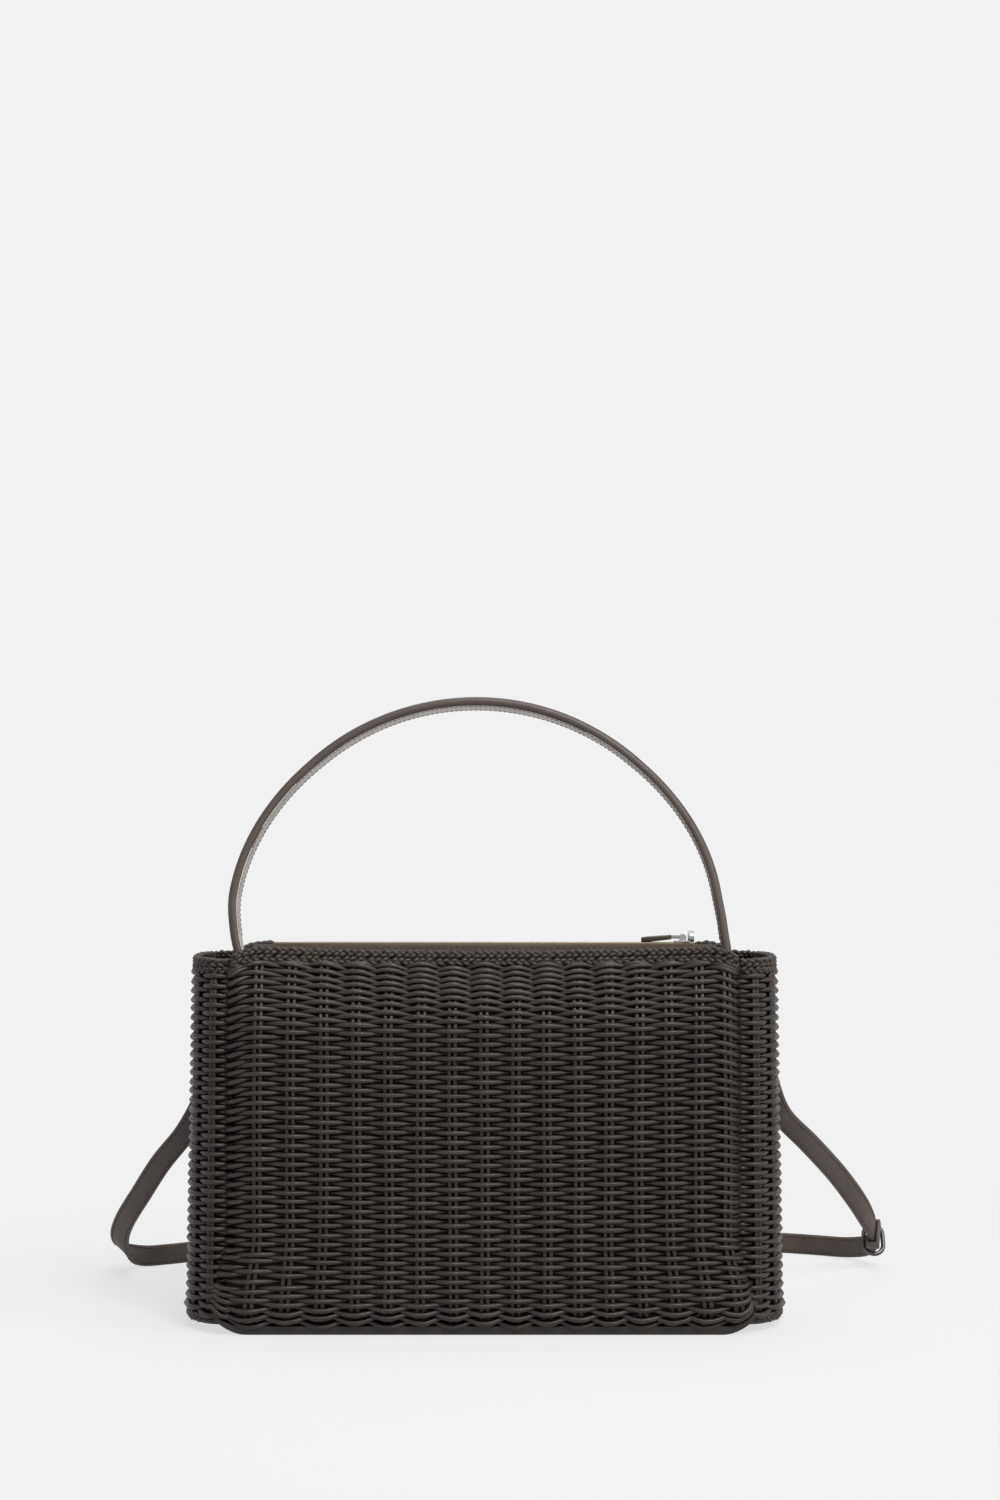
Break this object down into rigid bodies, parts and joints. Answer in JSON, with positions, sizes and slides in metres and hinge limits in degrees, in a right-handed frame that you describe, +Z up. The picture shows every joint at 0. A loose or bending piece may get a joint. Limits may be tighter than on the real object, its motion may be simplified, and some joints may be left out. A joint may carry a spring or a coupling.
{
  "type": "woven leather shoulder bag",
  "caption": "Woven leather shoulder bag with a zip top, outward side gussets, an arched carrying handle and a flat shoulder strap.",
  "frame": {"origin": "centre of the bag's footprint, on the surface that it stands on; the strap is not counted", "axes": "+Z up, X along the width with +X to the right of someone who faces the front, front panel towards -Y"},
  "size_m": [0.4084, 0.2621, 0.3021],
  "materials": {
    "woven_leather": "dark brown round leather cord, woven, satin",
    "base_leather": "smooth dark brown leather, satin",
    "handle_leather": "smooth brown leather with dark painted edges",
    "strap_leather": "smooth brown leather, stitched edges",
    "pull_leather": "dark olive brown leather",
    "zip_facing": "brown woven tape",
    "zip_teeth": "brass, lightly polished",
    "zip_metal": "polished silver metal",
    "dark_metal": "dark silver metal"
  },
  "bodies": {
    "bag": {"base_panel": "base_leather", "front_panel": "woven_leather", "back_panel": "woven_leather", "left_gusset": "woven_leather", "right_gusset": "woven_leather", "left_wing_floor": "woven_leather", "right_wing_floor": "woven_leather", "front_rim": "woven_leather", "back_rim": "woven_leather", "left_rim": "woven_leather", "right_rim": "woven_leather", "front_facing": "zip_facing", "back_facing": "zip_facing", "front_teeth": "zip_teeth", "back_teeth": "zip_teeth", "left_zip_end": "zip_facing", "right_zip_end": "zip_facing", "left_band": "base_leather", "right_band": "base_leather", "left_rivet": "dark_metal", "right_rivet": "dark_metal", "shoulder_strap": "strap_leather", "left_strap_tab": "strap_leather", "right_strap_tab": "strap_leather", "strap_ring": "dark_metal", "strap_keeper": "strap_leather"},
    "handle": {"handle": "handle_leather"},
    "slider": {"zip_slider": "zip_metal"},
    "pull": {"pull_link": "zip_metal", "pull_tab": "pull_leather"}
  },
  "joints": [
    {"name": "handle_swing", "type": "hinge", "parent": "bag", "child": "handle", "pos_m": [0, 0, 0.171], "axis": [1, 0, 0], "range_deg": [-38, 62]},
    {"name": "zip_slide", "type": "slide", "parent": "bag", "child": "slider", "axis": [1, 0, 0], "range_m": [-0.19, 0]},
    {"name": "pull_flip", "type": "hinge", "parent": "slider", "child": "pull", "pos_m": [0.096, 0, 0.18525], "axis": [0, 1, 0], "range_deg": [0, 120]}
  ]
}
